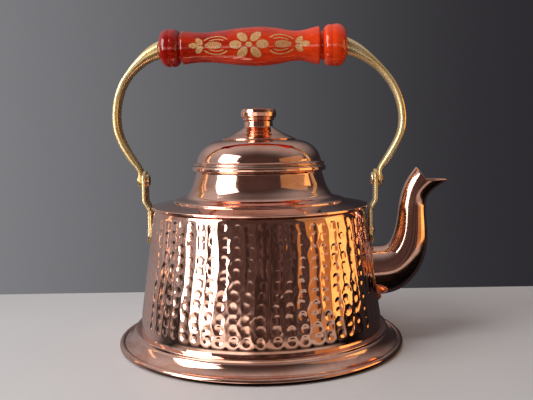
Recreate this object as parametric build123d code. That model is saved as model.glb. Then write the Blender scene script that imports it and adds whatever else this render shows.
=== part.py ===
from build123d import *
import os
from math import cos, radians, sin

# A hammered copper kettle: a conical body on a flared, rolled-rim base, a swept
# shoulder and neck, a lift-off domed lid, a gooseneck spout with a beak lip, and a
# brass bail with a turned wooden grip. Millimetres. The origin is the centre of the
# base on the surface it stands on, +Z is up, and the spout points along +X.

# ---- driving dimensions -------------------------------------------------------------
RIM_RADIUS = 100.0            # outside of the rolled rim, the widest part of the vessel
BEAD_RADIUS = 2.2             # section of the rolled rim
WIRE_RADIUS = 1.2             # wire inside the rolled rim
SHEET = 1.0                   # copper sheet of the skirt, shoulder, lid and spout
WALL_SHEET = 1.2              # heavier sheet of the hammered wall

WALL_FOOT_Z = 9.6             # lower edge of the wall, inside the skirt's ledge
WALL_TOP_Z = 95.2             # upper edge of the wall, under the folded seam
WALL_RADIUS_AT_20 = 84.4      # outside radius of the wall 20 mm above the table
WALL_TAPER = 0.1385           # radius lost per millimetre of height

SEAM_RADIUS = 75.9            # folded seam that joins wall and shoulder
SEAM_INNER_RADIUS = 72.8
SEAM_HEIGHT = 1.7
NECK_FOOT_RADIUS = 60.3       # step where the sloping shoulder becomes the neck
NECK_FOOT_Z = 100.0
NECK_BEND = (48.3, 108.5)
NECK_TOP_RADIUS = 44.0
COLLAR_RADIUS = 47.0
COLLAR_Z = (120.4, 124.4)

LID_FLANGE_RADIUS = 46.4
LID_FLANGE_Z = 126.3
LID_SEAT_GAP = 0.1            # the lid is drawn this far above its seat
SLEEVE_RADIUS = 42.4
SLEEVE_FOOT_Z = 114.5

FINIAL_RADIUS = 26.2
KNOB_RADIUS = 12.6
KNOB_TOP_Z = 164.2
STUD_RADIUS = 2.5

PIVOT_Z = 114.0               # height of the bail's pivots
PLATE_INNER_X = 80.3          # inner face of a bracket's upright plate
BRACKET_SHEET = 2.3
BRACKET_WIDTH = 14.0
PIVOT_SHANK_RADIUS = 2.2
PIVOT_CLEARANCE = 0.05        # radial running clearance of a bail arm on its rivet
ARM_GAP = 0.3                 # free space between bracket plate and bail arm
LUG_SHEET = 2.7
LUG_RADIUS = 5.8

BOW_CENTRE = (51.7, 157.0)    # centre of the arc that each bail arm follows
BOW_RADIUS = 48.5
ARM_STEPS = 18                # sections that shape each arm
GRIP_Z = 206.6                # axis of the grip
GRIP_LEFT_X = -67.9
GRIP_RIGHT_X = 61.3
ROD_RADIUS = 2.5
ROD_SOCKET_DEPTH = 6.0

LEAF_RIVET_Z = 77.5           # rivet through a bracket's lower leaf
LEAF_RIVET_RADIUS = 2.0


def wall_radius(z):
    """Outside radius of the conical wall at height z."""
    return WALL_RADIUS_AT_20 - WALL_TAPER * (z - 20.0)


# ---- helpers ------------------------------------------------------------------------
def spin(profile):
    """Revolve a profile, drawn as (radius, height), about the kettle's axis."""
    return revolve(Plane.XZ * profile, Axis.Z, 360)


def sheet(points, radii, thickness):
    """Profile of bent sheet: the points run along its outer face, and the metal lies
    to the right of the direction of travel."""
    line = FilletPolyline(*points, radius=radii) if radii else Polyline(*points)
    return make_face(Wire(line.edges()).offset_2d(thickness, side=Side.RIGHT).edges())


def block(r0, z0, r1, z1, corner=0.0):
    """Rectangular profile between two radii and two heights, with rounded corners."""
    centre = Pos((r0 + r1) / 2, (z0 + z1) / 2)
    if corner:
        return centre * RectangleRounded(r1 - r0, z1 - z0, corner)
    return centre * Rectangle(r1 - r0, z1 - z0)


def x_cylinder(radius, x0, x1, z):
    """Cylinder along X between x0 and x1, at height z."""
    return Pos((x0 + x1) / 2, 0, z) * Rot(0, 90, 0) * Cylinder(radius, abs(x1 - x0))


def x_turned(points, z):
    """Solid turned about a line along X at height z, from (x, radius) points."""
    outline = Plane.XZ * make_face(Polyline(*points, close=True).edges())
    return Pos(0, 0, z) * revolve(outline, Axis.X, 360)


# ---- the vessel ---------------------------------------------------------------------
def cone_solid(inset):
    """The inside of the wall's outer cone, drawn in by inset, far above and below."""
    low, high = -40.0, 140.0
    side = Polyline((0, low), (wall_radius(low) - inset, low),
                    (wall_radius(high) - inset, high), (0, high), close=True)
    return spin(make_face(side.edges()))


def spout_section(rear, front, half_width, inset=0.0):
    """Elliptical section of the spout from its rear edge to its front edge."""
    dx, dz = front[0] - rear[0], front[1] - rear[1]
    across = Vector(dx, 0, dz)
    plane = Plane(origin=((rear[0] + front[0]) / 2, 0, (rear[1] + front[1]) / 2),
                  x_dir=across, z_dir=Vector(-dz, 0, dx))
    return plane * Ellipse(across.length / 2 - inset, half_width - inset)


# Each row is one section of the gooseneck: rear edge, front edge, half width.
SPOUT_SECTIONS = [
    ((66.0, 66.0), (68.5, 29.5), 17.8),
    ((80.0, 66.3), (84.0, 31.6), 17.4),
    ((88.5, 67.0), (97.6, 35.1), 16.6),
    ((92.3, 70.5), (109.0, 44.7), 15.3),
    ((94.6, 76.0), (116.1, 58.5), 13.6),
    ((96.1, 82.0), (117.9, 72.5), 11.9),
    ((97.2, 89.0), (117.2, 84.5), 10.3),
    ((98.1, 96.5), (116.6, 94.0), 9.4),
    ((99.4, 103.0), (117.9, 100.8), 9.1),
    ((103.0, 112.3), (124.0, 107.3), 8.9),
    ((109.6, 121.9), (132.0, 112.6), 8.2),
]
SPOUT_REAR_TIP = (109.6, 121.7)
SPOUT_NOTCH = (115.5, 112.7)
LIP_TOP_Z = 112.9
SOLDER_LEG = 1.3              # brazed bead in the corner between spout and wall


def gooseneck(inset=0.0):
    """The whole solid gooseneck, from inside the vessel to beyond its mouth."""
    return loft([spout_section(*row, inset=inset) for row in SPOUT_SECTIONS])


def spout():
    above = [SPOUT_REAR_TIP, SPOUT_NOTCH, (140.0, LIP_TOP_Z), (140.0, 140.0), (100.0, 140.0)]
    mouth = extrude(Plane.XZ * make_face(Polyline(*above, close=True).edges()),
                    amount=RIM_RADIUS, both=True)
    return gooseneck() - cone_solid(0) - gooseneck(SHEET) - mouth


def spout_solder():
    """Bead in the corner between the spout's root and the wall."""
    grown = loft([spout_section(*row, inset=-SOLDER_LEG) for row in SPOUT_SECTIONS])
    return (grown & cone_solid(-SOLDER_LEG)) - cone_solid(0) - gooseneck()


def body_wall():
    """Hammered cone, pierced for the spout and for the brackets' rivets."""
    outer = [(wall_radius(z), z) for z in (WALL_FOOT_Z, WALL_TOP_Z)]
    inner = [(r - WALL_SHEET, z) for r, z in reversed(outer)]
    wall = spin(make_face(Polyline(*outer, *inner, close=True).edges()))
    reach = RIM_RADIUS
    return wall - gooseneck(SHEET) - x_cylinder(LEAF_RIVET_RADIUS, -reach, reach, LEAF_RIVET_Z)


def base_skirt():
    """Pressed ring: a ledge around the wall's foot, then a hollow sweep out to the rim."""
    outer = [(84.3, 12.3), (90.1, 10.9), (90.8, 4.3), (96.4, 3.7)]
    return spin(sheet(outer, [1.3, 4.4], SHEET)) - cone_solid(0)


def base_plate():
    """Flat bottom whose edge is rolled up and over the rim wire."""
    bead_r = RIM_RADIUS - BEAD_RADIUS
    disc = block(0, 0, bead_r, SHEET)
    roll = Pos(bead_r, BEAD_RADIUS) * Circle(BEAD_RADIUS)
    core = Pos(bead_r, BEAD_RADIUS) * Circle(WIRE_RADIUS)
    return spin(disc + roll - core) - base_skirt()


def rim_wire():
    return Pos(0, 0, BEAD_RADIUS) * Torus(RIM_RADIUS - BEAD_RADIUS, WIRE_RADIUS)


def shoulder_neck():
    seam_top = WALL_TOP_Z + SEAM_HEIGHT
    hem = block(SEAM_INNER_RADIUS, WALL_TOP_Z, SEAM_RADIUS, seam_top, 0.6)
    slope = sheet([(NECK_FOOT_RADIUS - 3.0, 99.9), (74.8, seam_top)], None, SHEET)
    foot = block(NECK_FOOT_RADIUS - 4.0, NECK_FOOT_Z - 1.3, NECK_FOOT_RADIUS, NECK_FOOT_Z + 0.3, 0.7)
    neck = sheet([(NECK_TOP_RADIUS, COLLAR_Z[1]), (NECK_TOP_RADIUS, COLLAR_Z[0]), NECK_BEND,
                  (NECK_FOOT_RADIUS - 0.6, NECK_FOOT_Z + 0.3)], [4.0, 16.0], SHEET)
    collar = block(NECK_TOP_RADIUS - SHEET, COLLAR_Z[0], COLLAR_RADIUS, COLLAR_Z[1], 1.6)
    return spin(hem + slope + foot + neck + collar)


# ---- the lid ------------------------------------------------------------------------
def lid_dome():
    shoulder, crown = (40.2, 136.8), (24.0, 142.2)
    line = [(STUD_RADIUS, crown[1]), crown, shoulder, (43.6, LID_FLANGE_Z),
            (LID_FLANGE_RADIUS, LID_FLANGE_Z)]
    return spin(sheet(line, [4.0, 5.0, 1.2], SHEET))


def lid_sleeve():
    """Friction sleeve that drops inside the neck, flanged under the lid's rim."""
    seat = COLLAR_Z[1] + LID_SEAT_GAP
    flange_top = LID_FLANGE_Z - SHEET
    tube = block(SLEEVE_RADIUS - SHEET, SLEEVE_FOOT_Z, SLEEVE_RADIUS, flange_top)
    flange = block(SLEEVE_RADIUS - SHEET, seat, LID_FLANGE_RADIUS - 0.8, flange_top)
    return spin(tube + flange)


def finial_foot():
    """Spun, hollow, concave cone between the lid and the knob."""
    edge_top = 142.9
    line = [(STUD_RADIUS, 155.4), (10.4, 155.4), (11.0, 149.3), (FINIAL_RADIUS, edge_top),
            (FINIAL_RADIUS, edge_top - 1.2)]
    cone = spin(sheet(line, [0.8, 6.0, 0.5], SHEET))
    dome_inside = spin(make_face(Polyline((0, 130), (44, 130), (40.2, 136.8), (24.0, 142.2),
                                          (0, 142.2), close=True).edges()))
    return cone - dome_inside


def knob_head():
    low = 155.4
    profile = make_face(Polyline((0, low), (10.9, low), (11.4, low + 0.7), (10.9, low + 1.4),
                                 (12.2, low + 2.2), (KNOB_RADIUS, low + 4.2), (12.2, low + 6.8),
                                 (10.8, low + 8.0), (6.0, low + 8.6), (0, KNOB_TOP_Z),
                                 close=True).edges())
    return spin(profile) - Pos(0, 0, low) * Cylinder(STUD_RADIUS, 12)


def knob_stud():
    head = block(0, 138.8, 4.2, 140.0, 0)
    shank = block(0, 140.0, STUD_RADIUS, 161.4)
    return spin(head + shank)


def knob_washer():
    return spin(block(STUD_RADIUS, 140.0, 8.0, 141.2))


# ---- brackets and rivets ------------------------------------------------------------
def bracket(side):
    """Brass strip: an upright plate for the pivot, a bend in over the seam, and a
    lower leaf on the wall. side is 1 for the spout side and -1 for the other."""
    top = PIVOT_Z + BRACKET_WIDTH / 2
    line = [(78.3, 68.6), (76.65, 76.5), (76.5, 93.2), (PLATE_INNER_X, 99.4), (PLATE_INNER_X, top)]
    strip = make_face(Wire(FilletPolyline(*line, radius=[12.0, 3.0, 4.0]).edges())
                      .offset_2d(BRACKET_SHEET, side=Side.RIGHT).edges())
    body = extrude(Plane.XZ * strip, amount=BRACKET_WIDTH / 2, both=True)
    leaf_foot = 68.0
    height = top - leaf_foot
    ends = Plane.YZ * Pos(0, leaf_foot + height / 2) * SlotOverall(height, BRACKET_WIDTH, rotation=90)
    body = body & extrude(ends, amount=100)
    body = body - x_cylinder(PIVOT_SHANK_RADIUS, 70, 90, PIVOT_Z)
    body = body - x_cylinder(LEAF_RIVET_RADIUS, 70, 90, LEAF_RIVET_Z)
    body = body - cone_solid(0)
    return body if side > 0 else mirror(body, Plane.YZ)


def leaf_rivet(side):
    """Domed rivet through the lower leaf and the wall, with a flat head inside."""
    z = LEAF_RIVET_Z
    inside = wall_radius(z) - WALL_SHEET
    face = 76.6 + BRACKET_SHEET
    dome = x_turned([(face - 0.4, 0), (face + 2.4, 0), (face + 2.1, 1.6), (face + 1.3, 3.3),
                     (face + 0.5, 4.4), (face, 4.7), (face - 0.4, 4.7)], z)
    shank = x_cylinder(LEAF_RIVET_RADIUS, inside - 0.6, face, z)
    head = x_cylinder(3.6, inside - 1.6, inside - 0.6, z)
    body = (dome - bracket(1)) + shank + head
    return body if side > 0 else mirror(body, Plane.YZ)


def pivot_rivet(side):
    """Bail pivot: a broad head inside the bracket, a shank and a peened end outside."""
    plate = PLATE_INNER_X
    arm_outer = plate + BRACKET_SHEET + ARM_GAP + LUG_SHEET
    points = [(plate - 2.0, 0), (plate - 2.0, 3.6), (plate - 1.2, 4.6), (plate, 4.6),
              (plate, PIVOT_SHANK_RADIUS), (arm_outer + 0.15, PIVOT_SHANK_RADIUS),
              (arm_outer + 0.15, 3.1), (arm_outer + 1.0, 2.9), (arm_outer + 1.7, 1.8),
              (arm_outer + 2.0, 0)]
    body = x_turned(points, PIVOT_Z)
    return body if side > 0 else mirror(body, Plane.YZ)


# ---- the bail -----------------------------------------------------------------------
LUG_INNER_X = PLATE_INNER_X + BRACKET_SHEET + ARM_GAP
LUG_MIDDLE_X = LUG_INNER_X + LUG_SHEET / 2
GRIP_OFFSET = (GRIP_LEFT_X + GRIP_RIGHT_X) / 2
GRIP_HALF = (GRIP_RIGHT_X - GRIP_LEFT_X) / 2


def arm_line(side):
    """Centre line of a bail arm, in the plane of the bail, drawn for the +X side. The
    grip sits a little off the middle, so each arm leans by that much above its bow."""
    lean = side * GRIP_OFFSET
    points = [(LUG_MIDDLE_X, PIVOT_Z + 5.5), (88.0, 126.0), (93.6, 134.6)]
    for angle in (-12, 10, 30, 49):
        x = BOW_CENTRE[0] + BOW_RADIUS * cos(radians(angle))
        z = BOW_CENTRE[1] + BOW_RADIUS * sin(radians(angle))
        share = max(0.0, z - BOW_CENTRE[1]) / (GRIP_Z - BOW_CENTRE[1])
        points.append((x + lean * share, z))
    points.append((GRIP_HALF + lean, GRIP_Z - 1.1))
    return Spline(*points, tangents=[(0.2, 1), (-1, 0.32)])


def arm_size(share):
    """Thickness in the plane of the bail, and width across it: thin at the lug, even
    along the bow, and swelling into a horn at the grip."""
    horn = max(0.0, (share - 0.70) / 0.30) ** 1.7
    root = max(0.0, 1.0 - share / 0.14) ** 1.5
    return 4.8 + 8.0 * horn - 2.1 * root, 12.0 + 2.6 * horn - 0.6 * root


def arm_section(line, share, thickness, width):
    """Octagonal section across the arm's line."""
    along = line % share
    spot = line @ share
    plane = Plane(origin=(spot.X, 0, spot.Y), x_dir=(0, 1, 0), z_dir=(along.X, 0, along.Y))
    cut = 0.28 * min(thickness, width)
    half_t, half_w = thickness / 2, width / 2
    corners = [(half_w, half_t - cut), (half_w - cut, half_t), (cut - half_w, half_t),
               (-half_w, half_t - cut), (-half_w, cut - half_t), (cut - half_w, -half_t),
               (half_w - cut, -half_t), (half_w, cut - half_t)]
    return plane * make_face(Polyline(*corners, close=True).edges())


def handle_arm(side):
    line = arm_line(side)
    shares = [step / ARM_STEPS for step in range(ARM_STEPS + 1)]
    bow = loft([arm_section(line, share, *arm_size(share)) for share in shares])
    end_x = GRIP_HALF + side * GRIP_OFFSET
    stub_plane = Plane.YZ.offset(end_x)
    spot = line @ 1
    stub = extrude(stub_plane * Pos(0, spot.Y) * RectangleRounded(13.6, 12.6, 4.0), amount=3.0)
    bow = (bow - Pos(end_x - 25, 0, GRIP_Z) * Box(50, 60, 60)) + stub
    lug_top = PIVOT_Z + 6.0
    lug = x_cylinder(LUG_RADIUS, LUG_INNER_X, LUG_INNER_X + LUG_SHEET, PIVOT_Z)
    lug = lug + Pos(LUG_MIDDLE_X, 0, (PIVOT_Z + lug_top) / 2) * Box(LUG_SHEET, 2 * LUG_RADIUS - 0.4,
                                                                   lug_top - PIVOT_Z)
    body = lug + bow
    body = body - x_cylinder(PIVOT_SHANK_RADIUS + PIVOT_CLEARANCE, 78, 90, PIVOT_Z)
    body = body - x_cylinder(ROD_RADIUS, end_x - 1, end_x + ROD_SOCKET_DEPTH, GRIP_Z)
    return body if side > 0 else mirror(body, Plane.YZ)


def grip():
    """One turned piece of wood: a bead, a groove, a swelling waist, a groove, a bead."""
    left, right = GRIP_LEFT_X, GRIP_RIGHT_X
    outline = [
        Polyline((left, 0), (left, 8.2)),
        ThreePointArc((left, 8.2), (left + 2.2, 11.9), (left + 7.5, 12.75)),
        ThreePointArc((left + 7.5, 12.75), (left + 12.0, 12.2), (left + 13.8, 9.6)),
        Polyline((left + 13.8, 9.6), (left + 15.2, 9.6), (left + 15.6, 11.4)),
        Spline((left + 15.6, 11.4), (-39.5, 10.3), (-22.0, 11.5), (-1.5, 13.35), (16.0, 11.9),
               (29.0, 10.2), (37.0, 11.8), (right - 19.0, 13.1)),
        Polyline((right - 19.0, 13.1), (right - 18.0, 12.6), (right - 17.6, 9.8), (right - 15.6, 9.8)),
        ThreePointArc((right - 15.6, 9.8), (right - 13.8, 13.2), (right - 9.5, 13.9)),
        ThreePointArc((right - 9.5, 13.9), (right - 2.4, 13.0), (right, 9.4)),
        Polyline((right, 9.4), (right, 0), (left, 0)),
    ]
    edges = [edge for line in outline for edge in line.edges()]
    body = Pos(0, 0, GRIP_Z) * revolve(Plane.XZ * make_face(edges), Axis.X, 360)
    return body - x_cylinder(ROD_RADIUS, left - 1, right + 1, GRIP_Z)


def grip_rod():
    return x_cylinder(ROD_RADIUS, GRIP_LEFT_X - ROD_SOCKET_DEPTH, GRIP_RIGHT_X + ROD_SOCKET_DEPTH,
                      GRIP_Z)


# ---- one STEP file per piece --------------------------------------------------------
PIECES = {
    "body_wall": body_wall(),
    "base_skirt": base_skirt(),
    "base_plate": base_plate(),
    "rim_wire": rim_wire(),
    "shoulder_neck": shoulder_neck(),
    "spout": spout(),
    "spout_solder": spout_solder(),
    "bracket_left": bracket(-1),
    "bracket_right": bracket(1),
    "leaf_rivet_left": leaf_rivet(-1),
    "leaf_rivet_right": leaf_rivet(1),
    "pivot_rivet_left": pivot_rivet(-1),
    "pivot_rivet_right": pivot_rivet(1),
    "lid_dome": lid_dome(),
    "lid_sleeve": lid_sleeve(),
    "finial_foot": finial_foot(),
    "knob_head": knob_head(),
    "knob_stud": knob_stud(),
    "knob_washer": knob_washer(),
    "handle_arm_left": handle_arm(-1),
    "handle_arm_right": handle_arm(1),
    "grip": grip(),
    "grip_rod": grip_rod(),
}

os.makedirs("parts", exist_ok=True)
for name, piece in PIECES.items():
    export_step(piece, f"parts/{name}.step")
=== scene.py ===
# Looks of a hammered copper kettle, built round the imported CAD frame. Drawing sizes
# are in millimetres in the kettle's own frame: the base stands on z = 0, the spout
# points along +X, and the bail swings about an axis along X.
import math

import bmesh
import bpy
import numpy as np
from mathutils import Matrix, Vector


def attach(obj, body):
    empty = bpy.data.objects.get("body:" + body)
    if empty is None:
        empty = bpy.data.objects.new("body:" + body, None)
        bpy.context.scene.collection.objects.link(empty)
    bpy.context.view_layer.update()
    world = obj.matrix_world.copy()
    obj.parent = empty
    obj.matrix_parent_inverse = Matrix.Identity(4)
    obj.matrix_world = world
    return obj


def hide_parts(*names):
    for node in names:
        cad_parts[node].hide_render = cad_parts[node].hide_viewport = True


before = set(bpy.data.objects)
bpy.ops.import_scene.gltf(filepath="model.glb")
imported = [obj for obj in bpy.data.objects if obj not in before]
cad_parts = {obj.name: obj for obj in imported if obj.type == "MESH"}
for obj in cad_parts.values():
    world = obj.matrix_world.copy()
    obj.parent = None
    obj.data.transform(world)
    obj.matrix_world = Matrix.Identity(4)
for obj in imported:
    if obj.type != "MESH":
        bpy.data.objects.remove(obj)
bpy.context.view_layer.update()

MM = 0.001
TAU = 2 * math.pi

# ---- sizes ----
WALL_FOOT_Z, WALL_TOP_Z, WALL_SHEET = 9.6, 95.2, 1.2
DENT_COLUMNS, DENT_ROWS = 61, 11
PITCH = TAU / DENT_COLUMNS    # angle from one column of dents to the next
DENT_LOW_Z, DENT_HIGH_Z = 21.2, 88.9
DENT_HALF_WIDTH, DENT_HALF_HEIGHT = 2.5, 2.85
DENT_DEPTH = 0.24
DENT_SIZE_RANGE, DENT_DEPTH_RANGE = (0.86, 1.1), (0.6, 1.25)
DENT_REACH = 1.9              # where a dent's raised lip has died out, in half widths
ROW_SCATTER, LOWEST_ROW_SCATTER = 0.75, 0.22
COLUMN_SWAY, COLUMN_SCATTER, DENT_SCATTER = 0.11, 0.05, 0.055     # in column widths
COLUMN_RIPPLE = 0.05          # how far the wall rises and falls from column to column
CREST_HEIGHT, CREST_HALF_WIDTH = 0.2, 0.95     # wavy ridge between two columns
CREST_BEND = 0.11             # in column widths
LIP_HEIGHT = 0.025            # raised metal round each dent
SMALL_UNEVEN, BROAD_UNEVEN = 0.016, 0.05
WORN_FACE_ANGLE = math.radians(274)       # where polishing has left the relief lowest
WORN_FACE_HALF_WIDTH = math.radians(15)
WORN_DENTS, WORN_CRESTS = 0.78, 0.4       # share of their height that is gone there
GROOVE_Z, GROOVE_HALF_WIDTH, GROOVE_DEPTH = 14.4, 3.0, 0.4
TOP_TURN_IN, TOP_TURN_Z = 0.75, 91.0
WALL_INSET = 0.08             # the whole outside is drawn in by this much
SKIRT_SHEET, LID_SHEET, CONE_SHEET, SPOUT_SHEET = 0.9, 0.95, 0.55, 0.95
SKIRT_UNEVEN, BASE_UNEVEN, SHOULDER_UNEVEN, LID_UNEVEN = 0.035, 0.03, 0.05, 0.035
SPOUT_ROOT_DEPTH = 0.5        # how far the spout's root is let into the wall

PIVOT_Z = 114.0
PLATE_INNER_X = 80.3
BRACKET_SHEET = 2.3
BRACKET_WIDTH = 14.0
LUG_INNER_X, LUG_SHEET, LUG_RADIUS = 82.9, 2.7, 5.8
LEAF_RIVET_Z = 77.5

GRIP_Z = 206.6
GRIP_LEFT_X, GRIP_RIGHT_X = -67.9, 61.3
PAINT_RADIUS = 11.8           # turns the angle about the grip into a length on it
GRIP_OFFSET = (GRIP_LEFT_X + GRIP_RIGHT_X) / 2
GRIP_HALF = (GRIP_RIGHT_X - GRIP_LEFT_X) / 2
BOW_CENTRE, BOW_RADIUS = (51.7, 157.0), 48.5
LUG_X, LUG_TOP_Z = LUG_INNER_X + LUG_SHEET / 2, PIVOT_Z + 5.5
ARM_THICK, ARM_WIDE = 4.7, 12.0
HORN_THICKER, HORN_WIDER = 8.0, 2.6       # where the arm meets the grip
ROOT_THINNER, ROOT_NARROWER = 2.1, 0.6    # beside the lug
ARM_UNEVEN = 0.045

# ---- camera and lights, in metres and degrees ----
CAMERA_AZIMUTH = 3.5          # the camera stands this far round towards the spout
CAMERA_DISTANCE, CAMERA_HEIGHT = 0.478, 0.1428
CAMERA_YAW, CAMERA_TILT, CAMERA_ROLL = 2.91, 84.8, -0.76
SENSOR_WIDTH, LENS = 36.0, 45.66
DARKEST, PALE_WALL = (0.026, 0.024, 0.028), (0.30, 0.30, 0.315)
SOFTBOXES = [  # name, azimuth, distance, height, width, tall, power, colour, aim height, spread
    ("softbox_low", -51.8, 0.95, 0.18, 0.40, 0.36, 1.16, (1.0, 0.97, 0.95), 0.12, 120),
    ("softbox_high", -58.5, 0.95, 0.66, 0.68, 0.58, 3.0, (1.0, 0.97, 0.95), 0.16, 120),
    ("panel_right", 88, 1.0, 0.22, 0.50, 0.48, 0.56, (1.0, 0.56, 0.17), 0.15, 130),
    ("panel_wide", 74, 1.04, 0.20, 0.98, 0.44, 0.36, (1.0, 0.46, 0.13), 0.15, 130),
    ("panel_upper", 70, 1.0, 0.58, 1.0, 0.30, 0.20, (1.0, 0.56, 0.18), 0.15, 140),
    ("strip_left", -104, 1.0, 0.25, 0.06, 0.60, 0.10, (1.0, 0.62, 0.34), 0.1, 140),
]


def wall_radius(z):
    return 84.4 - 0.1385 * (z - 20.0)


# ---- lines ----
def unit(v):
    return v / np.linalg.norm(v)


def unit_rows(rows):
    return rows / np.linalg.norm(rows, axis=1)[:, None]


def grown(value, start, end):
    """How far value has come from start towards end: 0 before start and 1 at end."""
    return max(0.0, (value - start) / (end - start))


def travelled(line):
    """Length along a polyline at each of its points."""
    return np.concatenate([[0], np.cumsum(np.linalg.norm(np.diff(line, axis=0), axis=1))])


def rounded(points, radii, steps):
    """Polyline whose inner corners are turned into arcs of the given radii. A short
    straight lead on each side keeps the flats flat when they are shaded smooth."""
    lead_share, longest_lead = 0.05, 0.4
    pts = [np.array(p, float) for p in points]
    out = [pts[0]]
    for before, corner, after, radius in zip(pts, pts[1:], pts[2:], radii):
        back, ahead = unit(before - corner), unit(after - corner)
        half = math.acos(float(np.clip(back @ ahead, -1, 1))) / 2
        reach = radius / math.tan(half)
        centre = corner + unit(back + ahead) * radius / math.sin(half)
        first, last = corner + back * reach - centre, corner + ahead * reach - centre
        turn = math.pi - 2 * half
        lead = lead_share * np.linalg.norm(before - corner)
        trail = lead_share * np.linalg.norm(after - corner)
        out.append(centre + first + back * min(lead, longest_lead))
        for k in range(steps + 1):
            a, b = math.sin((1 - k / steps) * turn), math.sin(k / steps * turn)
            out.append(centre + (a * first + b * last) / math.sin(turn))
        out.append(centre + last + ahead * min(trail, longest_lead))
    out.append(pts[-1])
    return np.array(out)


def offset(line, distance):
    """The line moved sideways, to the right of its direction of travel."""
    steps = unit_rows(np.diff(line, axis=0))
    along = unit_rows(np.vstack([steps[:1], steps[:-1] + steps[1:], steps[-1:]]))
    square = np.ones(len(line))
    square[1:-1] = np.sum(along[1:-1] * steps[1:], axis=1)
    right = np.column_stack([along[:, 1], -along[:, 0]])
    return line + right * (distance / np.maximum(square, 0.5))[:, None]


def half_turn(start, end, bulge):
    """Points of the half circle from start to end: to the left for bulge 1, to the right
    for -1."""
    steps = 5
    centre, arm = (start + end) / 2, (start - end) / 2
    side = np.array([arm[1], -arm[0]]) * bulge
    angles = [math.pi * k / steps for k in range(1, steps)]
    return [centre + arm * math.cos(a) + side * math.sin(a) for a in angles]


def sheet_loop(line, thickness):
    """Closed outline of sheet metal whose outer face is the line. The edge at its start
    is rounded and the edge at its end is hollow."""
    inner = offset(line, thickness)[::-1]
    return np.vstack([line, half_turn(line[-1], inner[0], -1), inner,
                      half_turn(inner[-1], line[0], 1)])


def spline(points, per_span, start=None, end=None):
    """Smooth cubic curve through the points, with optional end directions."""
    pts = np.array(points, float)
    gaps = np.linalg.norm(np.diff(pts, axis=0), axis=1)
    n = len(pts)
    matrix, right = np.zeros((n, n)), np.zeros(pts.shape)
    for i in range(1, n - 1):
        matrix[i, i - 1:i + 2] = gaps[i], 2 * (gaps[i - 1] + gaps[i]), gaps[i - 1]
        ahead = (pts[i + 1] - pts[i]) / gaps[i]
        behind = (pts[i] - pts[i - 1]) / gaps[i - 1]
        right[i] = 3 * (gaps[i] * behind + gaps[i - 1] * ahead)
    for row, near, given, chord in ((0, 1, start, (pts[1] - pts[0]) / gaps[0]),
                                    (n - 1, n - 2, end, (pts[-1] - pts[-2]) / gaps[-1])):
        matrix[row, row] = 1 if given is not None else 2
        matrix[row, near] = 0 if given is not None else 1
        right[row] = unit(np.array(given, float)) if given is not None else 3 * chord
    slopes = np.linalg.solve(matrix, right)
    out = []
    for i, gap in enumerate(gaps):
        for k in range(per_span):
            t = k / per_span
            near, far = 2 * t**3 - 3 * t**2 + 1, 3 * t**2 - 2 * t**3
            leave, arrive = t**3 - 2 * t**2 + t, t**3 - t**2
            out.append(pts[i] * near + pts[i + 1] * far
                       + slopes[i] * gap * leave + slopes[i + 1] * gap * arrive)
    out.append(pts[-1])
    return np.array(out)


def arc_through(a, b, c, steps):
    """Points of the circular arc from a through b to c."""
    a, b, c = np.array(a), np.array(b), np.array(c)
    centre = np.linalg.solve(2 * np.array([b - a, c - a]), [b @ b - a @ a, c @ c - a @ a])
    angles = np.unwrap([math.atan2(p[1] - centre[1], p[0] - centre[0]) for p in (a, b, c)])
    turn = np.linspace(angles[0], angles[2], steps + 1)
    return centre + np.linalg.norm(a - centre) * np.column_stack([np.cos(turn), np.sin(turn)])


def shifted(start, *points):
    """The points, whose first numbers are measured from start."""
    return [(start + first, second) for first, second in points]


def ripple(seed, count, most_round, most_rise):
    """Seamless smooth unevenness of an angle and a height, about one in size."""
    rng = np.random.default_rng(seed)
    around = rng.integers(-most_round, most_round + 1, count)
    rise = rng.uniform(-most_rise, most_rise, count)
    phase = rng.uniform(0, TAU, count)

    def height(angle, z):
        waves = [np.cos(n * angle + k * z + p) for n, k, p in zip(around, rise, phase)]
        return sum(waves) / math.sqrt(count)

    return height


# ---- meshes ----
def finish_mesh(piece, merge=True):
    """Joins coincident points, turns the faces outward and shades them smooth."""
    bm = bmesh.new()
    bm.from_mesh(piece.data)
    if merge:
        bmesh.ops.remove_doubles(bm, verts=bm.verts, dist=1e-7)
    bmesh.ops.recalc_face_normals(bm, faces=bm.faces)
    for face in bm.faces:
        face.smooth = True
    bm.to_mesh(piece.data)
    bm.free()


def new_object(name, data):
    """Puts a new object in the scene."""
    made = bpy.data.objects.new(name, data)
    bpy.context.scene.collection.objects.link(made)
    return made


def new_piece(name, points, faces):
    mesh = bpy.data.meshes.new(name)
    mesh.from_pydata((np.asarray(points) * MM).tolist(), [], faces)
    mesh.update()
    return new_object(name, mesh)


def ring_quads(rings, around, loop=False, first=0):
    """Quads between rings of around points each, whose numbers start at first."""
    i = np.arange(rings if loop else rings - 1)[:, None]
    j = np.arange(around)[None, :]
    near, far, beside = i * around, ((i + 1) % rings) * around, (j + 1) % around
    quads = np.stack([near + j, near + beside, far + beside, far + j], -1)
    return (first + quads.reshape(-1, 4)).tolist()


def skin(name, rings, loop=False, capped=False):
    """Quads over rings of points. loop joins the last ring to the first; capped closes
    each end with a fan."""
    rings = np.asarray(rings, float)
    n, m, _ = rings.shape
    faces = ring_quads(n, m, loop)
    points = rings.reshape(-1, 3)
    if capped:
        points = np.vstack([points, rings[0].mean(0), rings[-1].mean(0)])
        for ring_start, centre in ((0, n * m), ((n - 1) * m, n * m + 1)):
            faces += [[ring_start + k, ring_start + (k + 1) % m, centre] for k in range(m)]
    piece = new_piece(name, points, faces)
    finish_mesh(piece)
    return piece


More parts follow.
